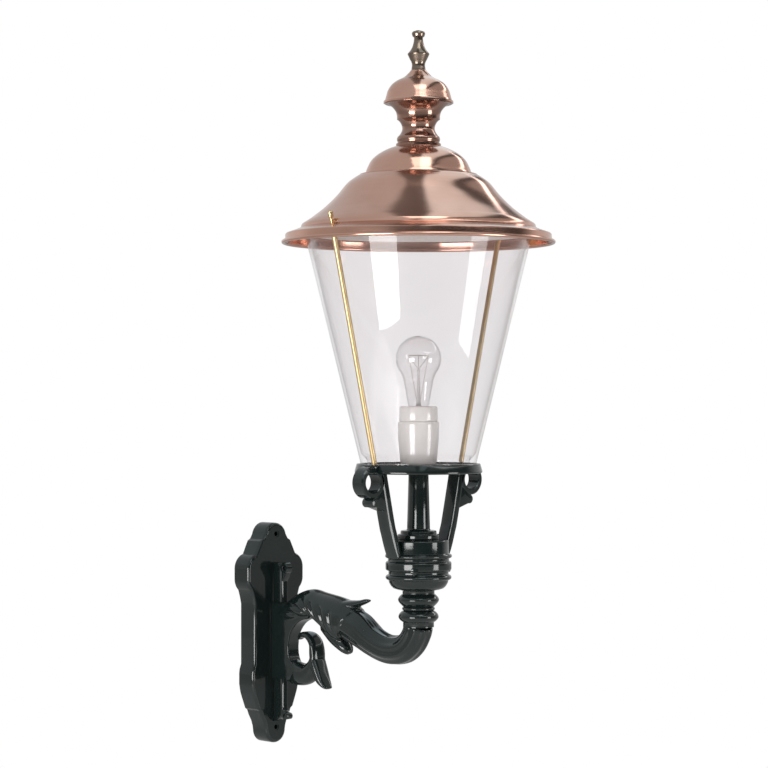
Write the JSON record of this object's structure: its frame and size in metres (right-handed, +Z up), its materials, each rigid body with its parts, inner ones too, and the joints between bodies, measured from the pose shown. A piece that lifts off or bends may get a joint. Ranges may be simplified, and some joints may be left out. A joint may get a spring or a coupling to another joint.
{
  "type": "wall lamp",
  "caption": "Traditional wall lantern: spun copper roof with finial over a clear conical glass, on a painted cast scroll bracket with a shaped wall plate.",
  "frame": {"origin": "on the wall plate's back face, midway between its two fixing holes", "axes": "+X out of the wall towards the lantern, +Y to the side, +Z up"},
  "size_m": [0.4903, 0.3606, 0.9654],
  "materials": {
    "green_paint": "gloss dark green paint on cast aluminium",
    "copper": "satin spun copper",
    "bronze": "satin pale bronze",
    "brass": "satin brass",
    "steel": "zinc plated",
    "bright_shell": "plain aluminium",
    "filament": "dull",
    "porcelain": "white glaze",
    "clear_glass": "clear",
    "bulb_glass": "clear",
    "seal_rubber": "pale silicone",
    "lead_rubber": "dull sheath",
    "block_plastic": "pale moulded plastic"
  },
  "bodies": {
    "root": {"wall_plate": "green_paint", "bracket_arm": "green_paint", "foot_bar_bolts": "steel", "terminal_block": "block_plastic", "terminal_screws": "brass", "earth_screw": "brass", "inner_lead": "lead_rubber", "lantern_fork": "green_paint", "collar_set_screws": "green_paint", "column": "green_paint", "hollow_rod": "brass", "hollow_rod_nuts": "brass", "glass_seal_lower": "seal_rubber", "glass_shade": "clear_glass", "glass_seal_upper": "seal_rubber", "tie_rod_left": "brass", "tie_rod_right": "brass", "tie_sleeve_left": "brass", "tie_sleeve_right": "brass", "tie_cap_nuts": "brass", "holder_body": "porcelain", "holder_ring": "porcelain", "holder_insert": "porcelain", "screw_shell": "brass", "centre_contact": "brass", "bulb_cap": "bright_shell", "bulb_glass": "bulb_glass", "bulb_stem": "bulb_glass", "bulb_wires": "bright_shell", "bulb_filament": "filament", "roof_skirt": "copper", "roof_dome": "copper", "roof_neck": "copper", "roof_cap": "copper", "finial": "bronze", "roof_rod": "steel", "roof_rod_nut": "steel"}
  },
  "joints": []
}
